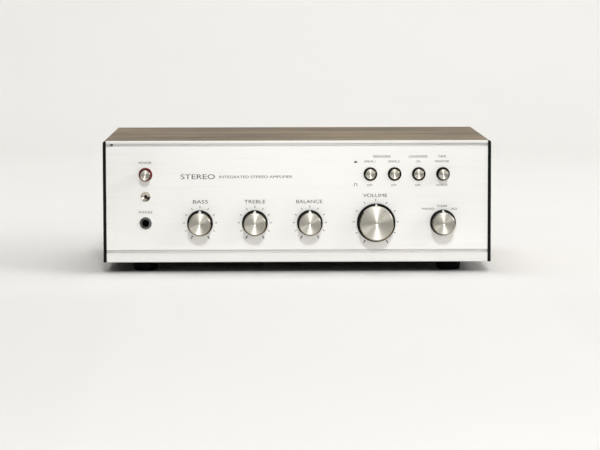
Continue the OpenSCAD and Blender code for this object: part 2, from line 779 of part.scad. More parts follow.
module ground_post() {
    color("#c9c5b8") at_back(ground_at[0], ground_at[1]) {
        rod(4, -6, post_out - 0.4);
        translate([0, 0, post_out - 0.4]) cylinder(d1 = 4, d2 = 3.2, h = 0.4);
        tube(9, 4, 0, 1);
        difference() {
            translate([0, 0, -sheet_t - 3]) cylinder(d = 8, h = 3, $fn = 6);
            rod(4, -9, 2);
        }
    }
}

// Thumb nut with coarse flutes.
module ground_nut() {
    color("#c9c5b8") at_back(ground_at[0], ground_at[1]) difference() {
        union() {
            rod(10, 2, 8.5);
            rod(7, 1.2, 2 + slack);
        }
        rod(4.12, 0, 12);
        for (a = [0:22.5:359]) rotate([0, 0, a]) translate([5.25, 0, 0]) rod(1.1, 3, 10);
    }
}

module cord_gland() {
    color("#151515") at_back(gland_at[0], gland_at[1]) difference() {
        union() {
            rod(12, -6, slack);
            rod(15, 0, 2);
            rod(11, 2 - slack, 6);
            for (x = [-1, 1]) block([x * 5.9 - 0.7, -3, -5], [x * 5.9 + 0.7, 3, -sheet_t - 0.1]);
        }
        rod(gland_bore_d, -8, 8);
    }
}

// ---------------------------------------------------------------- power supply and boards
module place_transformer() {
    translate([transformer_at[0], transformer_at[1], tray_z1]) children();
}

leg = core[0] / 6;

module transformer_core() {
    color("#6f6a62") place_transformer() difference() {
        block([-core[0] / 2, -core[1] / 2, 0], [core[0] / 2, core[1] / 2, core[2]]);
        for (side = [0, 1]) mirror([side, 0, 0])
            block([leg, -core[1], leg], [2 * leg, core[1], core[2] - leg]);
    }
}

// The bobbin's flanges and the taped coil round the middle leg.
module transformer_winding() {
    side = core[1] / 2;
    color("#c9a24b") place_transformer() difference() {
        union() {
            block([-2 * leg + 0.3, -side - 14, leg + 2.4], [2 * leg - 0.3, side + 14, core[2] - leg - 2.4]);
            for (z = [leg + 0.3, core[2] - leg - 2.4])
                block([-2 * leg + 0.3, -side - 15.5, z], [2 * leg - 0.3, side + 15.5, z + 2.1]);
        }
        block([-leg, -side, 0], [leg, side, core[2]]);
    }
}

// A steel strap over the core, with a foot on each side.
module transformer_frame() {
    t = 1.5;
    w = core[1] - 8;
    x = core[0] / 2;
    color("#b3b2a8") place_transformer() {
        difference() {
            block([-x - t, -w / 2, 0], [x + t, w / 2, core[2] + t]);
            block([-x, -w, -1], [x, w, core[2]]);
        }
        for (side = [0, 1]) mirror([side, 0, 0]) difference() {
            block([x + t - slack, -w / 2, 0], [x + 9, w / 2, t]);
            translate([x + 5.4, 0, 0]) rod(4, -1, 5);
        }
    }
}

module main_board() {
    color("#8d6b2f") difference() {
        block([board_x[0], board_y[0], board_z], [board_x[1], board_y[1], board_z + board_t]);
        for (p = board_posts) translate([p[0], p[1], 0]) rod(3.2, board_z - 1, board_z + 5);
    }
}

module heatsink() {
    pitch = (sink_y[1] - sink_y[0] - 2) / (fin_n - 1);
    color("#3b3c3d") translate([0, 0, sink_z[0]]) linear_extrude(sink_z[1] - sink_z[0]) {
        translate([sink_x, sink_y[0]]) square([4, sink_y[1] - sink_y[0]]);
        for (i = [0:fin_n - 1]) translate([sink_x + 3.9, sink_y[0] + i * pitch]) square([26, 2]);
    }
}

transistor_y = [14, 44, 80, 106];

module power_transistors() {
    z = board_z + board_t;
    color("#161616") for (along = transistor_y) {
        y = sink_y[0] + along;
        block([sink_x - 4.6, y - 5.1, z + 12], [sink_x - 1.3, y + 5.1, z + 21]);
        difference() {
            block([sink_x - 1.3, y - 5.1, z + 12], [sink_x, y + 5.1, z + 28]);
            translate([sink_x, y, z + 25]) rotate([0, 90, 0]) cylinder(d = 3.6, h = 8, center = true);
        }
        for (k = [-2.54, 0, 2.54])
            block([sink_x - 3.2, y + k - 0.4, z], [sink_x - 2.6, y + k + 0.4, z + 12 + slack]);
    }
}

module can_capacitor(d, h) {
    r = d / 2;
    rotate_extrude() polygon([
        [0, 0], [r, 0], [r, 2.6], [r - 0.7, 3.3], [r - 0.7, 4], [r, 4.7],
        [r, h - 0.8], [r - 0.8, h], [0, h],
    ]);
}

// Children are drawn on the main board, measured from its front left corner.
module on_board(x, y) {
    translate([board_x[0] + x, board_y[0] + y, board_z + board_t]) children();
}

module filter_capacitors() {
    color("#2b5f8f") for (x = [24, 60]) on_board(x, 118) can_capacitor(30, 46);
}

module resistor() {
    translate([-3.5, 0, 1.3]) rotate([0, 90, 0]) cylinder(d = 2.6, h = 7);
}

module small_transistor() {
    intersection() {
        cylinder(d = 4.8, h = 5);
        block([-3, -1.6, -1], [3, 3, 6]);
    }
}

module fuse_in_clips() {
    along = 20;
    translate([0, 0, 4]) rotate([90, 0, 0]) cylinder(d = 5, h = along, center = true);
    for (y = [-along / 2 + 2, along / 2 - 2]) difference() {
        block([-3.2, y - 2, 0], [3.2, y + 2, 6]);
        translate([0, y, 4]) rotate([90, 0, 0]) cylinder(d = 5, h = 9, center = true);
    }
}

// The small parts on the main board: electrolytics, resistors, film capacitors, transistors, the
// bridge rectifier and two fuses.
module board_components() {
    color("#6b5a3a") {
        for (i = [0:6]) on_board(16 + i * 21, 14) can_capacitor(8, 13);
        for (i = [0:4]) on_board(28 + i * 27, 46) can_capacitor(11, 18);
        for (i = [0:9], y = [30, 60]) on_board(15.5 + i * 15.5, y) resistor();
        for (i = [0:5]) on_board(18 + i * 24, 70) block([0, 0, 0], [11, 4, 9]);
        for (i = [0:5]) on_board(14 + i * 25, 84) small_transistor();
        on_board(88, 110) block([0, 0, 0], [19, 5, 15]);
        for (x = [120, 142]) on_board(x, 116) fuse_in_clips();
    }
}

module tone_board() {
    y = front_y + tone_board_y;
    color("#8d6b2f") {
        block([tone_x[0], y, tone_z[0]], [tone_x[1], y + board_t, tone_z[1]]);
        for (i = [0:8]) translate([tone_x[0] + 12 + i * 15, y + board_t, tone_z[0] + 10])
            rotate([-90, 0, 0]) cylinder(d = 6.3, h = 11);
        for (i = [0:10]) translate([tone_x[0] + 8 + i * 12.4, y + board_t + 1.3, tone_z[0] + 22])
            cylinder(d = 2.6, h = 7);
        for (x = [tone_x[0] + 4, tone_x[1] - 4]) translate([x, front_y + subpanel + sheet_t, tone_z[1] - 4])
            rotate([-90, 0, 0]) cylinder(d = 6, h = tone_board_y - subpanel - sheet_t, $fn = 6);
    }
}

// Each run of wire inside: its thickness and its route, with y measured from the front panel.
wire_runs = [
    // tag strip to power switch
    [5, [[-150, 189.8, 22], [-150, 180, 22], [-157, 164, 24], [-158, 104, 28], [-156, 64, 46],
         [-142, 52, 76], [-137, 50, 83], [-137, 42.2, 83]]],
    // power switch to transformer
    [3, [[-129, 42.2, 83], [-129, 50, 83], [-120, 62, 80], [-112, 76, 64], [-112, 88, 52],
         [-112, 97.8, 52]]],
    // transformer to the front and the back of the main board
    [3, [[-98, 97.8, 37], [-98, 90, 36], [-90, 82, 30], [-72, 76, 34], [-54, 72, 34],
         [-50, 72, 28], [-50, 72, 22]]],
    [3, [[-98, 162.2, 37], [-98, 170, 36], [-90, 180, 30], [-72, 184, 34], [-54, 184, 34],
         [-50, 184, 28], [-50, 184, 22]]],
    // main board to speaker terminals
    [3.4, [[20, 184, 22], [20, 184, 30], [14, 188, 40], [0, 194, 47], [-8, 200, 48],
           [-8, 207.8, 48]]],
    // headphone socket to main board
    [2.6, [[-132.7, 31.2, 44.6], [-132.7, 38, 44.6], [-124, 48, 34], [-104, 50, 26],
           [-80, 52, 30], [-58, 54, 34], [-52, 56, 29], [-52, 56, 22]]],
    // phono sockets to selector
    [3.4, [[90, 205.6, 62], [90, 198, 63], [96, 190, 76], [106, 176, 82], [106, 144, 82],
           [106, 84, 82], [114, 50, 68], [121.8, 40, 50], [121.8, 31.8, 50]]],
];

// The wires, and the tag strip that the mains lead would be soldered to.
module wiring() {
    color("#8a2f2a") translate([0, front_y, 0]) {
        for (run = wire_runs) wire(run[1], run[0]);
        block([-158, 190, tray_z1], [-132, 192, 28]);
    }
}

cover();
edge_trims();
front_panel();
top_rail();
bottom_rail();
groove_inlays();
chassis();
rear_panel();
rubber_feet();
machine_screws();
bass_knob();
bass_knob_cap();
bass_shaft();
treble_knob();
treble_knob_cap();
treble_shaft();
balance_knob();
balance_knob_cap();
balance_shaft();
volume_knob();
volume_knob_cap();
volume_shaft();
selector_knob();
selector_knob_cap();
selector_shaft();
tone_pots();
volume_pot();
selector_switch();
control_nuts();
power_button();
speaker_1_button();
speaker_2_button();
loudness_button();
tape_button();
power_switch();
switch_bank();
power_bezel();
button_bezels();
lamp_bezel();
lamp_lens();
phones_jack();
phones_nut();
phono_sockets();
phono_block();
din_socket();
speaker_terminals();
terminal_screws();
ground_post();
ground_nut();
cord_gland();
transformer_core();
transformer_winding();
transformer_frame();
main_board();
heatsink();
power_transistors();
filter_capacitors();
board_components();
tone_board();
wiring();
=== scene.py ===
# %% [markdown]
# # A small hi-fi amplifier: its surfaces, its lettering and its light
#
# The amplifier comes in as a finished set of parts, each at its real place and size, in metres, with
# the front panel facing -Y and the floor at z = 0. This lesson gives every part the finish that the
# real one has, prints the lettering and the scales, and lights it on a pale table.
#
# The parts could be modelled again here, but they already have their true shape. So the work goes
# into what the eye sees first: the grain of the aluminium, the turned faces of the knobs, the
# wood-grain skin and the soft light.

# %% Load the parts
import math

import bpy
from mathutils import Euler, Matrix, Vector


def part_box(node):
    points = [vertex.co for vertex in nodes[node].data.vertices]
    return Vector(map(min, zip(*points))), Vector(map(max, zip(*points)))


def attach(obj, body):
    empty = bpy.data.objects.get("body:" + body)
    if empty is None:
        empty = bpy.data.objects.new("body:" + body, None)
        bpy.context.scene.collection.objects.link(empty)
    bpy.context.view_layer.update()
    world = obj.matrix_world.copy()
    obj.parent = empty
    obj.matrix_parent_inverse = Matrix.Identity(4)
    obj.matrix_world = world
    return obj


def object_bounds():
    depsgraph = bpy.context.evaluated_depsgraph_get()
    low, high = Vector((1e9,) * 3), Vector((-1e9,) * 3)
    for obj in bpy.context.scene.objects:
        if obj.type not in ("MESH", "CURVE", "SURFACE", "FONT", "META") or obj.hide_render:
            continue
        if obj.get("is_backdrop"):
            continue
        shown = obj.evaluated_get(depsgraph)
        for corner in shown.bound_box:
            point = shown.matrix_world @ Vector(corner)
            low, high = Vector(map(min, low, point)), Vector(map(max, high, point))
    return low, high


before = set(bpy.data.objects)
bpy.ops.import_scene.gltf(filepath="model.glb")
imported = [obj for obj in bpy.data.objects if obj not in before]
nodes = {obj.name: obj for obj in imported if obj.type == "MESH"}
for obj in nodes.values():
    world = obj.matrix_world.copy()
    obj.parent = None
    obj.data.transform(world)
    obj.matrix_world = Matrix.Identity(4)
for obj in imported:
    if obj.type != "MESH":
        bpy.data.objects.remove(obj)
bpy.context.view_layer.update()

# %% [markdown]
# ## Measures
#
# Everything that is printed or added later has to sit on a part, so its place is worked out from
# that part's box. `middle` gives the centre of a box, and `mm` turns millimetres into metres,
# because a maker thinks in millimetres and the program in metres.

# %% Measures of the front and the back
mm = 0.001


def middle(name):
    """The centre of a part's box."""
    low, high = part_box(name)
    return (low + high) / 2


panel_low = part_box("front_panel")[0]
front_y = panel_low.y
rear_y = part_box("rear_panel")[1].y
controls = ["bass", "treble", "balance", "volume", "selector"]
print("front panel at y =", round(front_y / mm, 1), "mm; rear panel at y =", round(rear_y / mm, 1), "mm")

# %% [markdown]
# ## The camera
#
# A product picture is taken from far away with a long lens, so that the box keeps its shape. The
# camera stands 2.3 m in front of the panel and a little above it, and looks down by five degrees.
# It could be aimed with a constraint, but a fixed turn is easier to read and to check.

# %% Camera
distance = 2280.6 * mm
camera_data = bpy.data.cameras.new("camera")
camera_data.lens = 156.6
camera_data.sensor_width = 36
camera = bpy.data.objects.new("camera", camera_data)
bpy.context.scene.collection.objects.link(camera)
camera.location = (-24.3 * mm, front_y - distance, panel_low.z + 230.8 * mm)
look_down, look_right, tilt = math.radians(5.235), math.radians(0.672), math.radians(-0.111)
turn = (
    Euler((0, 0, -look_right)).to_matrix()
    @ Euler((math.pi / 2 - look_down, 0, 0)).to_matrix()
    @ Euler((0, 0, tilt)).to_matrix()
)
camera.rotation_euler = turn.to_euler()
bpy.context.scene.camera = camera
print("camera at", [round(v, 3) for v in camera.location])

# %% [markdown]
# ## Colours and nodes
#
# Paint charts and colour pickers give colours as sRGB hex codes, but light adds up in linear values.
# One function turns a code into a linear colour. A second one adds a shader node with its settings
# and its links. With those two, each finish below reads like a recipe.


# %% Helpers for colours and shader nodes
def colour(code):
    """A linear RGBA colour from an sRGB code such as '#d9dad7'."""
    parts = [int(code[i : i + 2], 16) / 255 for i in (1, 3, 5)]
    return [p / 12.92 if p <= 0.04045 else ((p + 0.055) / 1.055) ** 2.4 for p in parts] + [1.0]


def add(tree, kind, settings=None, stops=None, **inputs):
    """Adds a node. An input is a value or another node's output, by its name or as in0, in1 ..."""
    node = tree.nodes.new("ShaderNode" + kind)
    for name, value in (settings or {}).items():
        setattr(node, name, value)
    for number, (place, code) in enumerate(stops or []):
        ramp = node.color_ramp.elements
        stop = ramp[number] if number < len(ramp) else ramp.new(place)
        stop.position = place
        stop.color = colour(code)
    for name, value in inputs.items():
        socket = node.inputs[int(name[2:]) if name[2:].isdigit() else name.replace("_", " ")]
        if isinstance(value, bpy.types.NodeSocket):
            tree.links.new(value, socket)
        else:
            socket.default_value = value
    return node


def new_finish(name):
    """An empty material, its node tree and its Object coordinates, which are the parts' own metres."""
    material = bpy.data.materials.new(name)
    material.use_nodes = True
    tree = material.node_tree
    tree.nodes.clear()
    place = add(tree, "TexCoord").outputs["Object"]
    return material, tree, place


def show(material, tree, **inputs):
    """Ends a recipe: a Principled shader with these inputs, linked to the output."""
    shader = add(tree, "BsdfPrincipled", **inputs)
    add(tree, "OutputMaterial", Surface=shader.outputs["BSDF"])
    return material


def paint(material, *names):
    """Gives a finish to whole parts."""
    for name in names:
        part = nodes[name] if isinstance(name, str) else name
        part.data.materials.clear()
        part.data.materials.append(material)


# %% [markdown]
# ## Brushed aluminium
#
# The front is anodised aluminium sheet, brushed from side to side. Each bristle leaves a scratch a few
# hundredths of a millimetre high and several centimetres long. That is far too fine to show, so the
# streaks here are about half a millimetre high. Noise that is stretched along X draws them. They
# change the colour a little and the roughness a little, and raise a faint bump. The anodised layer
# scatters light as well as mirroring it, so the finish is not fully metallic.

# %% Brushed and satin aluminium
streak_height = 0.5 * mm
streak_length = 60 * mm


def brushed(name, light, dark, roughness, metallic, depth):
    material, tree, place = new_finish(name)
    stretch = add(
        tree, "Mapping", Vector=place, Scale=(1 / streak_length, 1 / streak_height, 1 / streak_height)
    )
    streaks = add(
        tree, "TexNoise", Vector=stretch.outputs[0], Scale=1.0, Detail=4.0, Roughness=0.6, Distortion=0.0
    )
    broad = add(tree, "Mapping", Vector=place, Scale=(3.0, 30.0, 30.0))
    clouds = add(tree, "TexNoise", Vector=broad.outputs[0], Scale=1.0, Detail=2.0)
    mixed = add(
        tree, "Mix", {"data_type": "FLOAT"}, in0=0.25, in2=streaks.outputs[0], in3=clouds.outputs[0]
    )
    tone = add(tree, "ValToRGB", stops=[(0.3, dark), (0.7, light)], Fac=mixed.outputs[0])
    rough = add(
        tree, "MapRange", Value=streaks.outputs[0],
        From_Min=0.3, From_Max=0.7, To_Min=roughness - 0.05, To_Max=roughness + 0.05,
    )
    bump = add(tree, "Bump", Strength=0.35, Distance=depth, Height=streaks.outputs[0])
    return show(
        material, tree,
        Base_Color=tone.outputs[0], Metallic=metallic, Roughness=rough.outputs[0],
        Normal=bump.outputs[0],
    )


brushed_aluminium = brushed("brushed_aluminium", "#f8f7f3", "#f1f0ec", 0.42, 0.5, 0.006 * mm)
satin_aluminium = brushed("satin_aluminium", "#f2f1ed", "#eae9e5", 0.4, 0.55, 0.004 * mm)
strip_aluminium = brushed("strip_aluminium", "#e6e4e3", "#dcdad9", 0.3, 0.7, 0.004 * mm)
paint(brushed_aluminium, "front_panel")
paint(satin_aluminium, "top_rail", "bottom_rail")
paint(strip_aluminium, "groove_inlays")
print("brushed streaks:", round(streak_height / mm, 2), "mm high,", streak_length / mm, "mm long")

# %% [markdown]
# ## Turned aluminium
#
# The knobs' caps and the buttons' heads are faced on a lathe. The tool leaves rings, and rings
# mirror a lamp as a bright wedge through the centre. A painted wedge would turn with the knob, and a
# real one stays where the light is. So the shader itself is told that the metal is rough across the
# rings and smooth along them, and a fine ring pattern adds a little bump. The real feed is about
# 0.1 mm a turn, and here it is drawn at 0.45 mm so that it shows. The wall of a cap is cut finer
# than its face, so past the face's edge the same recipe is smoother. Its colour there is a darker
# brown-grey, which is painted shade on the wall that turns away from the lamps.

# %% Turned aluminium, one recipe for each turned piece
ring_pitch = 0.45 * mm


def turned(name, part):
    """Turned metal with its rings about the part's own axis, which runs front to back."""
    low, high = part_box(part)
    centre = (low + high) / 2
    face_edge = (high.x - low.x) / 2 - 0.45 * mm
    material, tree, place = new_finish(name)
    local = add(tree, "Mapping", Vector=place, Location=(-centre.x, 0, -centre.z), Scale=(1, 0, 1))
    radius = add(tree, "VectorMath", {"operation": "LENGTH"}, in0=local.outputs[0]).outputs["Value"]
    turns = add(tree, "Math", {"operation": "DIVIDE"}, in0=radius, in1=ring_pitch)
    rings = add(tree, "TexNoise", {"noise_dimensions": "1D"}, W=turns.outputs[0], Scale=1.0, Detail=3.0)
    face = add(tree, "ValToRGB", stops=[(0.3, "#c8c3b7"), (0.7, "#dedbd1")], Fac=rings.outputs[0])
    on_wall = add(tree, "Math", {"operation": "GREATER_THAN"}, in0=radius, in1=face_edge).outputs[0]
    # Past the face's edge the colour is a darker brown-grey: painted shade on the cap's wall.
    tone = add(
        tree, "Mix", {"data_type": "RGBA"}, in0=on_wall, in6=face.outputs[0], in7=colour("#a39884")
    )
    rough = add(tree, "MapRange", Value=on_wall, To_Min=0.46, To_Max=0.14)
    around = add(tree, "Tangent", {"direction_type": "RADIAL", "axis": "Y"})
    bump = add(tree, "Bump", Strength=0.25, Distance=0.01 * mm, Height=rings.outputs[0])
    return show(
        material, tree,
        Base_Color=tone.outputs[2], Metallic=1.0, Roughness=rough.outputs[0], Anisotropic=0.9,
        Anisotropic_Rotation=0.25, Tangent=around.outputs[0], Normal=bump.outputs[0],
    )


turned_parts = [name + "_knob_cap" for name in controls] + [
    name + "_button" for name in ("power", "speaker_1", "speaker_2", "loudness", "tape")
]
for name in turned_parts:
    paint(turned("turned_" + name, name), name)
print("turned pieces:", len(turned_parts))

# %% [markdown]
# ## Mouldings
#
# Knob skirts and collars are hard black phenolic, moulded and then polished, so they are glossy with
# a very fine unevenness. The trims, switch bodies and glands are softer plastic out of a matt mould.
# Both are the same recipe with other numbers: a base colour, a roughness that wanders a little, and
# a grain.


# %% Plastics and rubber
def moulded(name, light, dark, roughness, grain, depth, wander=0.06, specular=0.5):
    material, tree, place = new_finish(name)
    large = add(tree, "TexNoise", Vector=place, Scale=60.0, Detail=2.0)
    fine = add(tree, "TexNoise", Vector=place, Scale=1 / grain, Detail=3.0)
    tone = add(tree, "ValToRGB", stops=[(0.35, dark), (0.65, light)], Fac=large.outputs[0])
    rough = add(
        tree, "MapRange", Value=large.outputs[0],
        From_Min=0.3, From_Max=0.7, To_Min=roughness - wander, To_Max=roughness + wander,
    )
    bump = add(tree, "Bump", Strength=0.4, Distance=depth, Height=fine.outputs[0])
    return show(
        material, tree,
        Base_Color=tone.outputs[0], Roughness=rough.outputs[0], Normal=bump.outputs[0],
        Specular_IOR_Level=specular,
    )


phenolic_black = moulded("polished_phenolic", "#070606", "#040404", 0.28, 0.6 * mm, 0.004 * mm, specular=0.16)
trim_black = moulded("trim_plastic", "#090808", "#050505", 0.5, 0.4 * mm, 0.02 * mm, specular=0.16)
collar_red = moulded("collar_red", "#780d1a", "#5e0a13", 0.25, 0.6 * mm, 0.003 * mm, specular=0.3)
nylon_black = moulded("nylon_black", "#191919", "#111111", 0.5, 0.5 * mm, 0.02 * mm)
switch_grey = moulded("switch_plastic", "#3a3a3c", "#2c2c2e", 0.45, 0.5 * mm, 0.02 * mm)
ivory = moulded("ivory_plastic", "#e6e2d6", "#d8d3c4", 0.4, 0.6 * mm, 0.01 * mm)
rubber = moulded("foot_rubber", "#121212", "#0b0b0b", 0.8, 0.3 * mm, 0.04 * mm, specular=0.15)
paint(phenolic_black, *[name + "_knob" for name in controls], "button_bezels")
paint(trim_black, "edge_trims")
paint(collar_red, "power_bezel")
paint(nylon_black, "cord_gland", "speaker_terminals", "power_transistors")
paint(switch_grey, "power_switch", "switch_bank")
paint(ivory, "phono_block")
paint(rubber, "rubber_feet")

# %% [markdown]
# ## Wood-grain vinyl
#
# The cover is steel with a printed vinyl skin, and the print is walnut. The sheet is folded over the
# box, so the grain runs from side to side across the top and then down the sides. Long soft bands
# and narrower veins make the figure of the wood, and short dark dashes make its pores. These three
# are noise that is stretched along the grain, along both X and Z, which makes the one recipe right
# for the top and for the sides. A slow change of tone keeps the sheet from looking flat. Real pores
# are about 0.2 mm wide, and here they are 0.8 mm so that they show.

# %% Wood-grain vinyl
band_width = 26 * mm
vein_width = 7 * mm
pore_width = 0.8 * mm
pore_length = 16 * mm

vinyl, tree, place = new_finish("walnut_vinyl")


def along_grain(width, length, **settings):
    """Noise that is stretched along the grain, which follows X on the top and Z on the sides."""
    turned_place = add(tree, "Mapping", Vector=place, Scale=(1 / length, 1 / width, 1 / length))
    return add(tree, "TexNoise", Vector=turned_place.outputs[0], Scale=1.0, **settings).outputs[0]


bands = along_grain(band_width, 220 * mm, Detail=3.0, Roughness=0.55, Distortion=0.5)
veins = along_grain(vein_width, 120 * mm, Detail=5.0, Roughness=0.65, Distortion=0.3)
pores = along_grain(pore_width, pore_length, Detail=3.0, Roughness=0.7)
figure = add(tree, "Mix", {"data_type": "FLOAT"}, in0=0.5, in2=bands, in3=veins)
wood = add(
    tree, "ValToRGB",
    stops=[(0.34, "#473827"), (0.45, "#68563e"), (0.54, "#857256"), (0.64, "#938060"), (0.74, "#6c5a40")],
    Fac=figure.outputs[0],
)
dash = add(tree, "MapRange", Value=pores, From_Min=0.52, From_Max=0.64, To_Max=0.65)
grained = add(
    tree, "Mix", {"data_type": "RGBA"}, in0=dash.outputs[0], in6=wood.outputs[0], in7=colour("#33261a")
)
slow = add(tree, "TexNoise", Vector=place, Scale=9.0, Detail=1.0)
shade = add(tree, "MapRange", Value=slow.outputs[0], From_Min=0.3, From_Max=0.7, To_Min=0.88, To_Max=1.12)
toned = add(
    tree, "MixRGB", {"blend_type": "MULTIPLY"}, in0=1.0, in1=grained.outputs[2], in2=shade.outputs[0]
)
emboss = add(tree, "Bump", Strength=0.5, Distance=0.03 * mm, Height=pores)
show(
    vinyl, tree,
    Base_Color=toned.outputs[0], Roughness=0.52, Normal=emboss.outputs[0], Specular_IOR_Level=0.2,
)
paint(vinyl, "cover")
print("grain bands", band_width / mm, "mm; pores", pore_width / mm, "x", pore_length / mm, "mm")

# %% [markdown]
# ## Plated, painted and bare metal
#
# Behind the front there are four more metals. Zinc plate is grey and cloudy. Nickel and chrome are
# smooth mirrors, nickel being the warmer. Black paint on steel has a fine orange-peel skin. The rear
# panel has it, and the chassis gets the same near-black as painted shade, which darkens the gap
# under the cabinet. The heatsink is black anodised aluminium, and its gloss is low. The headphone
# socket is one part with two finishes: its threaded bush is plated where it comes through the panel,
# and its body behind the panel is black plastic. So its recipe changes at the panel's face.


# %% Metals
def plated(name, light, dark, roughness, patch, metallic=1.0):
    material, tree, place = new_finish(name)
    clouds = add(tree, "TexNoise", Vector=place, Scale=1 / patch, Detail=4.0, Roughness=0.6)
    tone = add(tree, "ValToRGB", stops=[(0.35, dark), (0.65, light)], Fac=clouds.outputs[0])
    rough = add(
        tree, "MapRange", Value=clouds.outputs[0],
        From_Min=0.3, From_Max=0.7, To_Min=roughness - 0.04, To_Max=roughness + 0.06,
    )
    bump = add(tree, "Bump", Strength=0.15, Distance=0.01 * mm, Height=clouds.outputs[0])
    return show(
        material, tree,
        Base_Color=tone.outputs[0], Metallic=metallic, Roughness=rough.outputs[0],
        Normal=bump.outputs[0],
    )


zinc = plated("zinc_plate", "#b9b9b3", "#9c9c97", 0.34, 6 * mm)
nickel = plated("nickel_plate", "#cfc9bb", "#c1bbac", 0.2, 4 * mm)
chrome = plated("chrome_plate", "#dcdddd", "#cdcfd0", 0.1, 4 * mm)
brass = plated("plated_brass", "#cdb57c", "#b79c62", 0.28, 3 * mm)
steel = plated("turned_steel", "#b5b3ab", "#a19f98", 0.3, 3 * mm)
black_anodised = plated("black_anodised", "#2b2c2d", "#202122", 0.42, 5 * mm, metallic=0.7)
laminations = plated("iron_laminations", "#5d5850", "#464139", 0.5, 2 * mm, metallic=0.6)
paint(zinc, "tone_pots", "volume_pot", "transformer_frame", "machine_screws")
paint(nickel, "phono_sockets", "din_socket", "ground_post", "ground_nut", "control_nuts", "lamp_bezel")
paint(chrome, "phones_nut")
paint(brass, "terminal_screws")
paint(steel, *[name + "_shaft" for name in controls])
paint(black_anodised, "heatsink")
paint(laminations, "transformer_core")

socket_metal, tree, place = new_finish("jack_bush_and_body")
depth = add(tree, "SeparateXYZ", Vector=place).outputs["Y"]
in_front = add(tree, "Math", {"operation": "LESS_THAN"}, in0=depth, in1=front_y).outputs[0]
scuffs = add(tree, "TexNoise", Vector=place, Scale=1 / (1.5 * mm), Detail=3.0)
plate_tone = add(tree, "ValToRGB", stops=[(0.3, "#b9b9b7"), (0.7, "#d4d4d2")], Fac=scuffs.outputs[0])
body_and_bush = add(
    tree, "Mix", {"data_type": "RGBA"}, in0=in_front, in6=colour("#0b0b0b"), in7=plate_tone.outputs[0]
)
smooth = add(tree, "MapRange", Value=in_front, To_Min=0.5, To_Max=0.14)
show(socket_metal, tree, Base_Color=body_and_bush.outputs[2], Metallic=in_front, Roughness=smooth.outputs[0])
paint(socket_metal, "phones_jack")

black_paint_and_shade = moulded("black_paint_and_shade", "#0c0c0d", "#080809", 0.5, 0.9 * mm, 0.03 * mm, specular=0.1)
# The rear panel's black is its real paint; on the chassis the same black is painted shade for the gap under
# the cabinet.
paint(black_paint_and_shade, "chassis", "rear_panel")

# %% [markdown]
# ## Boards, coils and wire
#
# The insides are seldom seen, but the slots in the back and in the floor show a little of them. The
# boards are paper phenolic, which is brown and faintly mottled. The coil is wrapped in varnished
# tape, whose turns show as level lines. The small parts on the board differ from each other, so
# their colour is picked by place, one cell for each part.


# %% Inside finishes
def by_place(name, codes, cell, roughness):
    """Neighbouring pieces in one part get different colours from a short list."""
    material, tree, place = new_finish(name)
    cells = add(tree, "TexVoronoi", Vector=place, Scale=1 / cell, Randomness=0.6)
    pick = add(tree, "SeparateColor", Color=cells.outputs["Color"])
    steps = [(i / len(codes), code) for i, code in enumerate(codes)]
    tone = add(tree, "ValToRGB", stops=steps, Fac=pick.outputs[0])
    tone.color_ramp.interpolation = "CONSTANT"
    fine = add(tree, "TexNoise", Vector=place, Scale=1 / (0.8 * mm), Detail=2.0)
    bump = add(tree, "Bump", Strength=0.3, Distance=0.02 * mm, Height=fine.outputs[0])
    return show(
        material, tree, Base_Color=tone.outputs[0], Roughness=roughness, Normal=bump.outputs[0]
    )


def wrapped(name, light, dark, turn_height, roughness):
    """Tape or sleeving whose turns show as level lines."""
    material, tree, place = new_finish(name)
    lines = add(
        tree, "TexWave", {"bands_direction": "Z"},
        Vector=place, Scale=1 / (3.2 * turn_height), Distortion=0.6, Detail=2.0,
    )
    tone = add(tree, "ValToRGB", stops=[(0.1, dark), (0.4, light)], Fac=lines.outputs["Fac"])
    bump = add(tree, "Bump", Strength=0.5, Distance=0.15 * mm, Height=lines.outputs["Fac"])
    return show(
        material, tree, Base_Color=tone.outputs[0], Roughness=roughness, Normal=bump.outputs[0]
    )


board_brown = moulded("paper_phenolic", "#8f6a35", "#7a5828", 0.4, 0.5 * mm, 0.02 * mm)
lens_red = moulded("lamp_lens_red", "#1c0605", "#130404", 0.12, 0.8 * mm, 0.002 * mm)
coil_tape = wrapped("varnished_tape", "#c79a45", "#a47a31", 6 * mm, 0.35)
sleeve_blue = wrapped("capacitor_sleeve", "#2b5b8c", "#224a75", 22 * mm, 0.3)
small_parts = by_place(
    "small_parts", ["#b08a56", "#7f3b24", "#28344f", "#1d1b1a", "#c7b089"], 11 * mm, 0.4
)
wires = by_place("covered_wire", ["#8c2b26", "#3a3a3a", "#c9c3b4", "#2c4a7a"], 60 * mm, 0.45)
paint(board_brown, "main_board", "tone_board", "selector_switch")
paint(lens_red, "lamp_lens")
paint(coil_tape, "transformer_winding")
paint(sleeve_blue, "filter_capacitors")
paint(small_parts, "board_components")
paint(wires, "wiring")
bare = [name for name in nodes if not nodes[name].data.materials]
print("parts without a finish:", bare)

# %% [markdown]
# ## Printed lettering
#
# The words on the panel are screen-printed in black ink, a few hundredths of a millimetre thick. They
# could be a picture on the panel, but real shapes stay sharp at any distance. Each word starts as a
# text object, becomes a mesh, and is then stretched to its printed height and width, because this
# kind of lettering is much wider than the built-in font. At the end all words join into one piece.

# %% A helper for printed words
ink_depth = 0.05 * mm


def only(thing):
    """Selects one object and nothing else."""
    bpy.ops.object.select_all(action="DESELECT")
    thing.select_set(True)
    bpy.context.view_layer.objects.active = thing


def settle():
    """Puts the place, turn and size of the selected objects into their meshes."""
    bpy.ops.object.transform_apply(location=True, rotation=True, scale=True)


def join(pieces, name):
    """Joins the pieces into one and names it."""
    only(pieces[0])
    for piece in pieces:
        piece.select_set(True)
    bpy.ops.object.join()
    whole = bpy.context.object
    whole.name = whole.data.name = name
    return whole


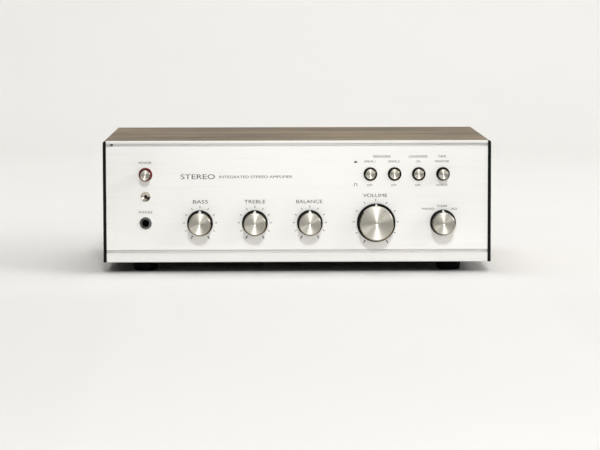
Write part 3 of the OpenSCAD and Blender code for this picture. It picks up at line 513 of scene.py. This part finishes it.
def word(text, x, z, height, width, y, back=False):
    """A printed word of this height and width, centred at x and z on the surface at y."""
    bpy.ops.object.select_all(action="DESELECT")
    bpy.ops.object.text_add(location=(0, 0, 0))
    piece = bpy.context.object
    piece.data.body = text
    piece.data.resolution_u = 5
    piece.data.extrude = 0.1
    bpy.ops.object.convert(target="MESH")
    bpy.ops.object.origin_set(type="ORIGIN_GEOMETRY", center="BOUNDS")
    size = piece.dimensions
    piece.scale = (width / size.x, height / size.y, ink_depth / size.z)
    piece.location = (0, 0, 0)
    settle()
    piece.rotation_euler = (math.pi / 2, 0, math.pi if back else 0)
    piece.location = (x, y + (ink_depth / 2 if back else -ink_depth / 2), z)
    settle()
    return piece


# %% Words on the front
knob_z = middle("bass_knob").z
button_z = middle("tape_button").z
button_x = [middle(name + "_button").x for name in ("speaker_1", "speaker_2", "loudness", "tape")]
knob_x = {name: middle(name + "_knob").x for name in controls}
left_x = middle("power_bezel").x

large, small, tiny = 3.0 * mm, 2.1 * mm, 1.8 * mm
front_words = [
    ("BASS", knob_x["bass"] + 0.4 * mm, knob_z + 18.6 * mm, large, 13.1 * mm),
    ("TREBLE", knob_x["treble"], knob_z + 18.6 * mm, large, 18.4 * mm),
    ("BALANCE", knob_x["balance"] - 0.5 * mm, knob_z + 18.6 * mm, large, 22.8 * mm),
    ("VOLUME", knob_x["volume"] - 0.9 * mm, knob_z + 23.8 * mm, large, 21.2 * mm),
    ("POWER", left_x - 0.2 * mm, button_z + 10.3 * mm, small, 11.0 * mm),
    ("PHONES", left_x - 0.2 * mm, knob_z + 9.5 * mm, small, 11.6 * mm),
    ("STEREO", -87.0 * mm, button_z - 2.0 * mm, 4.2 * mm, 30.0 * mm),
    ("INTEGRATED STEREO AMPLIFIER", -36.2 * mm, button_z - 2.2 * mm, 2.2 * mm, 64.0 * mm),
    ("SPEAKERS", sum(button_x[:2]) / 2 - 0.6 * mm, button_z + 15.4 * mm, small, 15.2 * mm),
    ("SPKR.1", button_x[0] - 0.6 * mm, button_z + 11.0 * mm, tiny, 9.6 * mm),
    ("SPKR.2", button_x[1] - 0.6 * mm, button_z + 11.0 * mm, tiny, 10.0 * mm),
    ("LOUDNESS", button_x[2] - 0.4 * mm, button_z + 15.4 * mm, small, 16.0 * mm),
    ("ON", button_x[2] - 0.4 * mm, button_z + 11.0 * mm, tiny, 3.5 * mm),
    ("TAPE", button_x[3] - 0.8 * mm, button_z + 15.4 * mm, small, 7.2 * mm),
    ("MONITOR", button_x[3] - 0.8 * mm, button_z + 11.0 * mm, tiny, 12.4 * mm),
    ("OFF", button_x[0] - 0.7 * mm, button_z - 9.8 * mm, tiny, 4.6 * mm),
    ("OFF", button_x[1] - 0.7 * mm, button_z - 9.8 * mm, tiny, 4.6 * mm),
    ("OFF", button_x[2] - 0.7 * mm, button_z - 9.8 * mm, tiny, 4.6 * mm),
    ("SOURCE", button_x[3] - 1.0 * mm, button_z - 9.8 * mm, tiny, 9.8 * mm),
    ("PHONO", knob_x["selector"] - 13.0 * mm, knob_z + 11.9 * mm, tiny, 10.6 * mm),
    ("TUNER", knob_x["selector"] - 0.6 * mm, knob_z + 14.4 * mm, tiny, 9.0 * mm),
    ("AUX", knob_x["selector"] + 10.0 * mm, knob_z + 11.9 * mm, tiny, 5.6 * mm),
]
words = [word(text, x, z, height, width, front_y) for text, x, z, height, width in front_words]
lettering = join(words, "front_lettering")
print("front words:", len(words), "triangles:", sum(len(p.vertices) - 2 for p in lettering.data.polygons))

# %% [markdown]
# ## Scales round the knobs
#
# Each control has eleven marks, thirty degrees apart, and the two at the ends are bolder. One mark is
# made from a box whose ends are rounded with a bevel. It stands at twelve o'clock, and its copies are
# turned about the knob's axis.

# %% Scale marks
step = math.radians(30)


def mark(width, length, radius, x, z, angle):
    """One printed mark, at this radius from a scale's centre and at this angle from twelve o'clock."""
    bpy.ops.object.select_all(action="DESELECT")
    bpy.ops.mesh.primitive_cube_add(size=1, location=(0, 0, radius + length / 2))
    piece = bpy.context.object
    piece.scale = (width, ink_depth, length)
    settle()
    bpy.ops.object.mode_set(mode="EDIT")
    bpy.ops.mesh.select_all(action="SELECT")
    bpy.ops.mesh.bevel(offset=ink_depth / 4, segments=1)
    bpy.ops.object.mode_set(mode="OBJECT")
    piece.rotation_euler = (0, angle, 0)
    piece.location = (x, front_y - ink_depth / 2, z)
    settle()
    return piece


def scale_marks(x, z, radius):
    """Eleven marks round a centre at x and z, the two at the ends bolder."""
    marks = []
    for number in range(-5, 6):
        width, length = (0.8 * mm, 2.9 * mm) if abs(number) == 5 else (0.5 * mm, 1.9 * mm)
        marks.append(mark(width, length, radius, x, z, number * step))
    return marks


marks = []
for name in ("bass", "treble", "balance"):
    marks += scale_marks(knob_x[name], knob_z, 13.1 * mm)
marks += scale_marks(knob_x["volume"] - 0.3 * mm, knob_z + 0.5 * mm, 18.4 * mm)
scales = join(marks, "front_scales")
print("scale marks:", len(marks))

# %% [markdown]
# ## The two button signs
#
# Left of the row a filled sign stands for a button that is in, and an open outline for a button that
# is out. Both are built from small plates with softened edges: the filled one from two plates, and
# the outline from five thin ones. The same helper makes the old brown glue that shows in the top
# groove, where its bright strip has a gap of two millimetres. Left of the glue, a thin dark strip
# four millimetres long is a painted shadow line in the groove, in the glue's brown.


# %% Button signs, the glue in the groove and a painted shadow line
def plate(x, z, width, height, y=front_y - ink_depth / 2, thickness=ink_depth):
    """A thin plate with softened edges, centred at x, y and z."""
    bpy.ops.object.select_all(action="DESELECT")
    bpy.ops.mesh.primitive_cube_add(size=1, location=(x, y, z))
    piece = bpy.context.object
    piece.scale = (width, thickness, height)
    settle()
    bpy.ops.object.mode_set(mode="EDIT")
    bpy.ops.mesh.select_all(action="SELECT")
    bpy.ops.mesh.bevel(offset=ink_depth / 4, segments=1)
    bpy.ops.object.mode_set(mode="OBJECT")
    return piece


sign_x = button_x[0] - 12.9 * mm
signs = [
    plate(sign_x, button_z + 10.3 * mm, 3.0 * mm, 0.9 * mm),
    plate(sign_x, button_z + 11.1 * mm, 1.6 * mm, 0.9 * mm),
    plate(sign_x - 1.1 * mm, button_z - 9.3 * mm, 0.4 * mm, 2.2 * mm),
    plate(sign_x + 1.1 * mm, button_z - 9.3 * mm, 0.4 * mm, 2.2 * mm),
    plate(sign_x, button_z - 8.4 * mm, 2.6 * mm, 0.4 * mm),
    plate(sign_x - 1.2 * mm, button_z - 10.3 * mm, 1.0 * mm, 0.4 * mm),
    plate(sign_x + 1.2 * mm, button_z - 10.3 * mm, 1.0 * mm, 0.4 * mm),
]
button_signs = join(signs, "button_signs")

inlay_low, inlay_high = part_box("groove_inlays")
glue_y = inlay_high.y - 0.7 * mm
blob = plate(inlay_low.x + 5 * mm, inlay_high.z - 0.55 * mm, 1.9 * mm, 1.6 * mm, glue_y, 1.4 * mm)
# A thin dark strip left of the glue, in the glue's brown: a painted shadow line.
shadow_line = plate(inlay_low.x + 2.2 * mm, inlay_high.z - 1.3 * mm, 3.8 * mm, 0.35 * mm, glue_y, 1.3 * mm)
glue_and_shadow_line = join([blob, shadow_line], "glue_and_shadow_line")
paint(moulded("brown_glue_and_shadow", "#4a3222", "#2c1c12", 0.4, 0.5 * mm, 0.1 * mm), glue_and_shadow_line)
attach(glue_and_shadow_line, "cabinet")

ink = moulded("black_ink", "#2a2927", "#1f1e1d", 0.55, 0.2 * mm, 0.004 * mm)
for piece in (lettering, scales, button_signs):
    paint(ink, piece)
    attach(piece, "cabinet")

# %% [markdown]
# ## Pointers
#
# Each knob shows its setting with a white rib that runs down the side of the cap and across the
# skirt, and narrows towards the panel. It is a plain wedge: a box whose far end is drawn in. The part
# on the cap's side and the part on the skirt are made alike and joined.

# %% White pointers on the knobs
pointer_rise = 0.45 * mm


def wedge(low, high, near_width, far_width, along):
    """A box between two corners that narrows from its first end to its last end along Y or Z."""
    bpy.ops.object.select_all(action="DESELECT")
    bpy.ops.mesh.primitive_cube_add(size=1, location=(low + high) / 2)
    piece = bpy.context.object
    piece.scale = high - low
    settle()
    first = low[along]
    for vertex in piece.data.vertices:
        near = abs(vertex.co[along] - first) < 1e-6
        side = 1 if vertex.co.x > (low.x + high.x) / 2 else -1
        vertex.co.x = (low.x + high.x) / 2 + side * (near_width if near else far_width) / 2
    bpy.ops.object.mode_set(mode="EDIT")
    bpy.ops.mesh.select_all(action="SELECT")
    bpy.ops.mesh.bevel(offset=0.08 * mm, segments=2)
    bpy.ops.object.mode_set(mode="OBJECT")
    return piece


white_paint = moulded("pointer_white", "#f4f3ee", "#e9e8e2", 0.4, 0.3 * mm, 0.004 * mm)
for name in controls:
    skirt_low, skirt_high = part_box(name + "_knob")
    cap_low, cap_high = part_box(name + "_knob_cap")
    x = knob_x[name]
    cap_radius = (cap_high.x - cap_low.x) / 2
    skirt_radius = (skirt_high.x - skirt_low.x) / 2
    seat = cap_high.y
    side = wedge(
        Vector((x - 1 * mm, cap_low.y + 0.5 * mm, knob_z + cap_radius - 0.2 * mm)),
        Vector((x + 1 * mm, seat, knob_z + cap_radius + pointer_rise)),
        2.5 * mm, 1.7 * mm, 1,
    )
    foot = wedge(
        Vector((x - 1 * mm, seat - 0.55 * mm, knob_z + cap_radius)),
        Vector((x + 1 * mm, seat - 0.01 * mm, knob_z + skirt_radius - 0.35 * mm)),
        1.7 * mm, 0.9 * mm, 2,
    )
    pointer = join([side, foot], name + "_pointer")
    paint(white_paint, pointer)
    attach(pointer, name + "_control")
print("pointers:", len(controls))

# %% [markdown]
# ## Words on the back
#
# The back has its own lettering, printed in white over the black paint. It names what each socket is
# for, and is read from behind, so each word is turned by half a turn.

# %% Words on the back
phono_low, phono_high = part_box("phono_sockets")
columns = [phono_low.x + 5.6 * mm + i * 18 * mm for i in range(5)]
terminals_low, terminals_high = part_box("speaker_terminals")
gland, post, din = middle("cord_gland"), middle("ground_post"), middle("din_socket")
rear_words = [
    (text, x, phono_high.z + 4.2 * mm, 2.0 * mm, 9.6 * mm)
    for text, x in zip(("PHONO", "TUNER", "AUX", "TAPE IN", "TAPE OUT"), reversed(columns))
] + [
    ("L", phono_low.x - 5 * mm, phono_high.z - 5.6 * mm, 2.4 * mm, 1.6 * mm),
    ("R", phono_low.x - 5 * mm, phono_low.z + 5.6 * mm, 2.4 * mm, 1.8 * mm),
    ("TAPE IN/OUT", din.x, din.z - 12.5 * mm, 2.0 * mm, 17.0 * mm),
    ("GND", post.x, post.z + 8.5 * mm, 2.2 * mm, 6.4 * mm),
    ("SPEAKERS", (terminals_low.x + terminals_high.x) / 2, terminals_high.z + 8.6 * mm, 2.6 * mm, 22 * mm),
    ("SYSTEM 1", terminals_high.x - 24.5 * mm, terminals_high.z + 4.0 * mm, 2.0 * mm, 13 * mm),
    ("SYSTEM 2", terminals_low.x + 24.5 * mm, terminals_high.z + 4.0 * mm, 2.0 * mm, 13 * mm),
    ("AC IN", gland.x, gland.z + 11.5 * mm, 2.2 * mm, 8.4 * mm),
]
words = [word(*line, rear_y, back=True) for line in rear_words]
rear_lettering = join(words, "rear_lettering")
white_ink = moulded("white_ink", "#e9e8e3", "#dddcd6", 0.5, 0.2 * mm, 0.004 * mm)
paint(white_ink, rear_lettering)
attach(rear_lettering, "cabinet")
print("rear words:", len(words))

# %% [markdown]
# ## The table and the backdrop
#
# The amplifier stands on a pale sheet that runs away from the camera and curves up without a corner,
# as in a product studio. A plane is the start. Its far edge is extruded upwards, and a wide bevel
# rounds the fold. The helper does this for any sheet, because two more are needed below.


# %% Table and backdrop
def folded_sheet(name, low, high, rise, fold, fold_at):
    """A sheet on the floor from low to high (x, y), folded up at the edge whose y is fold_at."""
    bpy.ops.object.select_all(action="DESELECT")
    bpy.ops.mesh.primitive_plane_add(size=1, location=(0, 0, 0))
    sheet = bpy.context.object
    sheet.name = sheet.data.name = name
    sheet.scale = (high[0] - low[0], high[1] - low[1], 1)
    sheet.location = ((low[0] + high[0]) / 2, (low[1] + high[1]) / 2, 0)
    settle()

    def pick(test):
        """Selects the edges whose two ends both pass the test."""
        for face in sheet.data.polygons:
            face.select = False
        for vertex in sheet.data.vertices:
            vertex.select = False
        for edge in sheet.data.edges:
            edge.select = all(test(sheet.data.vertices[i].co) for i in edge.vertices)

    pick(lambda p: abs(p.y - fold_at) < 1e-5)
    bpy.ops.object.mode_set(mode="EDIT")
    bpy.ops.mesh.select_mode(type="EDGE")
    bpy.ops.mesh.extrude_region_move(TRANSFORM_OT_translate={"value": (0, 0, rise)})
    bpy.ops.object.mode_set(mode="OBJECT")
    pick(lambda p: abs(p.y - fold_at) < 1e-5 and abs(p.z) < 1e-5)
    bpy.ops.object.mode_set(mode="EDIT")
    bpy.ops.mesh.bevel(offset=fold, segments=24)
    bpy.ops.object.mode_set(mode="OBJECT")
    bpy.ops.object.shade_smooth()
    return sheet


table = folded_sheet("table", (-4.5, -3.2), (4.5, 2.8), 4.0, 1.25, 2.8)
table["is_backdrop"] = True

paper, tree, place = new_finish("studio_paper")
fibres = add(tree, "TexNoise", Vector=place, Scale=2.0, Detail=2.0)
tone = add(tree, "ValToRGB", stops=[(0.3, "#efeeeb"), (0.7, "#f1f0ed")], Fac=fibres.outputs[0])
show(paper, tree, Base_Color=tone.outputs[0], Roughness=0.8, Specular_IOR_Level=0.1)
paint(paper, table)

# %% [markdown]
# ## Black cards
#
# Turned metal would mirror the pale table to its left and right. Two black cards lie there, low and
# to the sides, with their front edges folded up, and only mirrored rays can see them. They deepen
# the darker wedges at three and nine o'clock on each turned face. Without them the metal would look
# like grey plastic.

# %% Black cards for the reflections
near_y, far_y = front_y - 1.2, front_y - 0.16
card_gap = 2 * mm
cards = [
    folded_sheet("left_card", (-1.5, near_y), (-0.14, far_y), 0.12, 0.04, near_y),
    folded_sheet("right_card", (0.2, near_y), (1.5, far_y), 0.12, 0.04, near_y),
]
for card in cards:
    only(card)
    card.location.z = card_gap
    settle()
    card.visible_camera = card.visible_diffuse = card.visible_shadow = False
    card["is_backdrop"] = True
velvet, tree, place = new_finish("black_card")
nap = add(tree, "TexNoise", Vector=place, Scale=200.0)
tone = add(tree, "ValToRGB", stops=[(0.3, "#060606"), (0.7, "#0a0a0a")], Fac=nap.outputs[0])
show(velvet, tree, Base_Color=tone.outputs[0], Roughness=0.9, Specular_IOR_Level=0.0)
for card in cards:
    paint(velvet, card)

# %% [markdown]
# ## Light
#
# A wide soft box overhead lights the table, a smaller one high in front throws the knobs' shadows
# straight down the panel, and a low one beside the camera fills them a little. A large one at the
# right makes the cabinet's own soft shadow on the left, and one behind lights the backdrop. Shiny
# metal shows what it mirrors, so the room matters as much as the lamps: it is pale above and to the
# right, and dark in a band at the horizon. The camera itself, looking past the table's edge, sees
# the same pale paper everywhere.


# %% Lamps and room
def soft_box(name, place, target, size, power, tint="#ffffff"):
    data = bpy.data.lights.new(name, "AREA")
    data.shape = "RECTANGLE"
    data.size, data.size_y = size
    data.energy = power
    data.color = colour(tint)[:3]
    lamp = bpy.data.objects.new(name, data)
    bpy.context.scene.collection.objects.link(lamp)
    lamp.location = place
    lamp.rotation_euler = (Vector(place) - Vector(target)).to_track_quat("Z", "Y").to_euler()
    return lamp


aim = (0, front_y, 60 * mm)
soft_box("overhead", (0.0, 0.1, 2.4), (0, 0, 0), (1.6, 2.4), 12)
soft_box("key", (0.15, front_y - 3.6, 2.1), aim, (0.42, 0.36), 72, "#fbfcff")
soft_box("fill", (-0.1, front_y - 2.6, 0.5), aim, (0.9, 0.6), 3.8, "#fffdfa")
soft_box("right", (2.35, -1.1, 1.05), (0, 0, 0.05), (2.0, 0.9), 33)
soft_box("backdrop", (0.3, 0.6, 2.3), (0.2, 2.6, 1.0), (3.0, 0.8), 24)

world = bpy.data.worlds.new("room")
bpy.context.scene.world = world
world.use_nodes = True
tree = world.node_tree
tree.nodes.clear()
direction = add(tree, "TexCoord").outputs["Generated"]
height = add(tree, "VectorMath", {"operation": "DOT_PRODUCT"}, in0=direction, in1=(0.4, 0, 0.92))
sky = add(
    tree, "ValToRGB",
    stops=[(0.0, "#807f7d"), (0.42, "#6c6b6a"), (0.48, "#1b1b1a"), (0.62, "#232221"), (0.74, "#bbb9b5"),
           (1.0, "#efece8")],
    Fac=add(tree, "MapRange", Value=height.outputs["Value"], From_Min=-1.0, From_Max=1.0).outputs[0],
)
room = add(tree, "Background", Color=sky.outputs[0], Strength=0.64)
paper_far_away = add(tree, "Background", Color=colour("#e9e8e5"), Strength=1.0)
seen = add(
    tree, "MixShader",
    in0=add(tree, "LightPath").outputs["Is Camera Ray"],
    in1=room.outputs[0], in2=paper_far_away.outputs[0],
)
add(tree, "OutputWorld", Surface=seen.outputs[0])

bpy.context.scene.view_settings.view_transform = "Standard"
bpy.context.scene.view_settings.look = "None"
bpy.context.scene.view_settings.exposure = 0.0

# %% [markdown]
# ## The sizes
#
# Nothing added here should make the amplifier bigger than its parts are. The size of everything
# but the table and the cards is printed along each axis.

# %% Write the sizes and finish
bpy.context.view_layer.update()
for axis, low, high in zip("XYZ", *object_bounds()):
    print(axis, round((high - low) / mm, 1), "mm")
